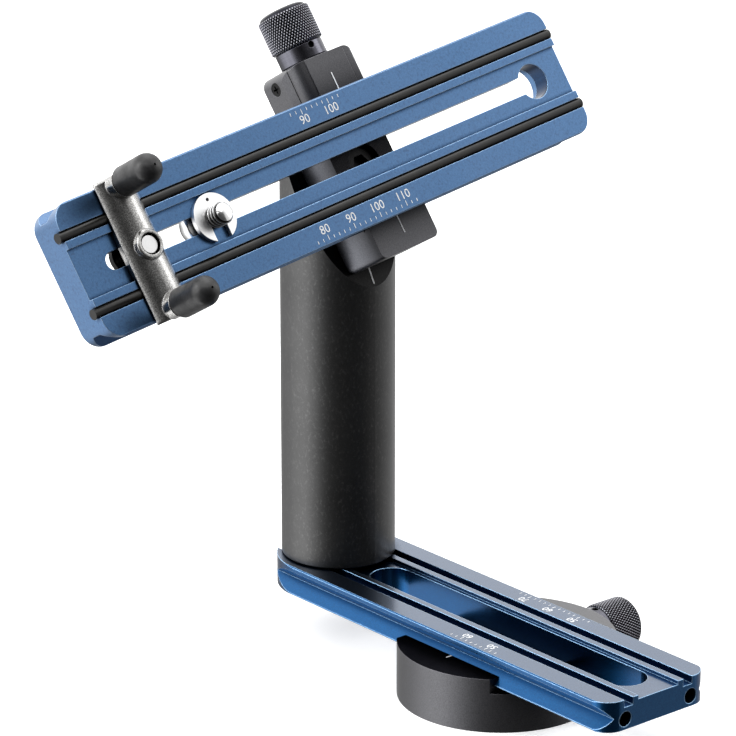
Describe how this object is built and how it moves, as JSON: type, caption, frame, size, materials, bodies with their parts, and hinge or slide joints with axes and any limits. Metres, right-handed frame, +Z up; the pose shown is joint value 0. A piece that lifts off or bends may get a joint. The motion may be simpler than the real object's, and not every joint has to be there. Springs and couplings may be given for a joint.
{
  "type": "panoramic tripod head",
  "caption": "Panoramic tripod head: round base clamp, dovetail rail with slanted column, swivelling clamp and slotted camera plate with a horned stop.",
  "frame": {"origin": "centre of the tripod thread's mouth in the base's flat underside", "axes": "+Z up, +X along the lower rail from the column to its free end, +Y across the rail towards the base clamp's knob"},
  "size_m": [0.1563, 0.188, 0.1838],
  "materials": {
    "blue_anodised": "satin anodised",
    "grey_anodised": "satin anodised",
    "black_anodised": "satin anodised",
    "collar_metal": "turned, satin",
    "knurled_black": "diamond knurled, satin",
    "steel": "turned",
    "bright_steel": "turned, bright",
    "black_steel": "blackened, satin",
    "spring_steel": "bright drawn wire",
    "brass": "turned",
    "cast_metal": "rough cast, tumbled",
    "cord_rubber": "matt",
    "cap_rubber": "matt, slightly mottled"
  },
  "bodies": {
    "base": {"base_block": "grey_anodised", "tripod_bush": "steel", "base_guide_pins": "steel", "base_jaw_spring": "spring_steel"},
    "base_jaw": {"base_moving_jaw": "grey_anodised", "base_jaw_bushes": "brass"},
    "base_knob": {"base_spindle": "steel", "base_knob_collar": "collar_metal", "base_knob_set_screw": "black_steel", "base_knob_grip": "knurled_black"},
    "rail": {"lower_rail": "blue_anodised", "column": "black_anodised", "column_screws": "black_steel", "swivel_bolt": "black_steel", "swivel_washer": "steel"},
    "upper_clamp": {"upper_clamp_body": "grey_anodised", "upper_guide_pins": "steel", "upper_jaw_spring": "spring_steel"},
    "upper_jaw": {"upper_moving_jaw": "grey_anodised", "upper_jaw_bushes": "brass", "upper_jaw_screw": "black_steel"},
    "upper_knob": {"upper_spindle": "steel", "upper_knob_collar": "collar_metal", "upper_knob_set_screw": "black_steel", "upper_knob_grip": "knurled_black"},
    "plate": {"camera_plate": "blue_anodised", "rubber_cord_upper": "cord_rubber", "rubber_cord_lower": "cord_rubber"},
    "stop": {"stop_bar": "cast_metal", "horn_cap_upper": "cap_rubber", "horn_cap_lower": "cap_rubber", "stop_nut": "black_steel"},
    "stop_screw": {"stop_screw": "bright_steel"},
    "screw_clip": {"retaining_clip": "bright_steel"},
    "camera_screw": {"camera_screw": "bright_steel"}
  },
  "joints": [
    {"name": "rail_slide", "type": "slide", "parent": "base", "child": "rail", "axis": [1, 0, 0], "range_m": [-0.044, 0.047]},
    {"name": "base_knob_turn", "type": "hinge", "parent": "base_jaw", "child": "base_knob", "pos_m": [0, 0.0385, 0.0083], "axis": [0, 1, 0], "range_deg": [0, 1500]},
    {"name": "base_jaw_slide", "type": "slide", "parent": "base", "child": "base_jaw", "axis": [0, 1, 0], "range_m": [0, 0.004]},
    {"name": "clamp_swivel", "type": "hinge", "parent": "rail", "child": "upper_clamp", "pos_m": [-0.0697, 0, 0.1347], "axis": [0.866, 0, 0.5], "range_deg": [-60, 60]},
    {"name": "upper_knob_turn", "type": "hinge", "parent": "upper_jaw", "child": "upper_knob", "pos_m": [-0.08116, -0.00516, 0.17155], "axis": [-0.4954, -0.1357, 0.858], "range_deg": [0, 1500]},
    {"name": "upper_jaw_slide", "type": "slide", "parent": "upper_clamp", "child": "upper_jaw", "axis": [-0.4954, -0.1357, 0.858], "range_m": [0, 0.004]},
    {"name": "plate_slide", "type": "slide", "parent": "upper_clamp", "child": "plate", "axis": [-0.0679, 0.9907, 0.1175], "range_m": [-0.056, 0.095]},
    {"name": "stop_slide", "type": "slide", "parent": "plate", "child": "stop", "axis": [-0.0679, 0.9907, 0.1175], "range_m": [-0.009, 0.008]},
    {"name": "stop_screw_turn", "type": "hinge", "parent": "stop", "child": "stop_screw", "pos_m": [-0.04247, -0.09014, 0.13814], "axis": [0.866, 0, 0.5], "range_deg": [0, 360]},
    {"name": "screw_slide", "type": "slide", "parent": "plate", "child": "screw_clip", "axis": [-0.0679, 0.9907, 0.1175], "range_m": [-0.002, 0.118]},
    {"name": "camera_screw_turn", "type": "hinge", "parent": "screw_clip", "child": "camera_screw", "pos_m": [-0.04426, -0.06403, 0.14124], "axis": [0.866, 0, 0.5], "continuous": true}
  ],
  "couplings": [
    {"joint": "base_knob_turn", "follows": "base_jaw_slide", "rad_per_m": 6283.2},
    {"joint": "upper_knob_turn", "follows": "upper_jaw_slide", "rad_per_m": 6283.2}
  ]
}
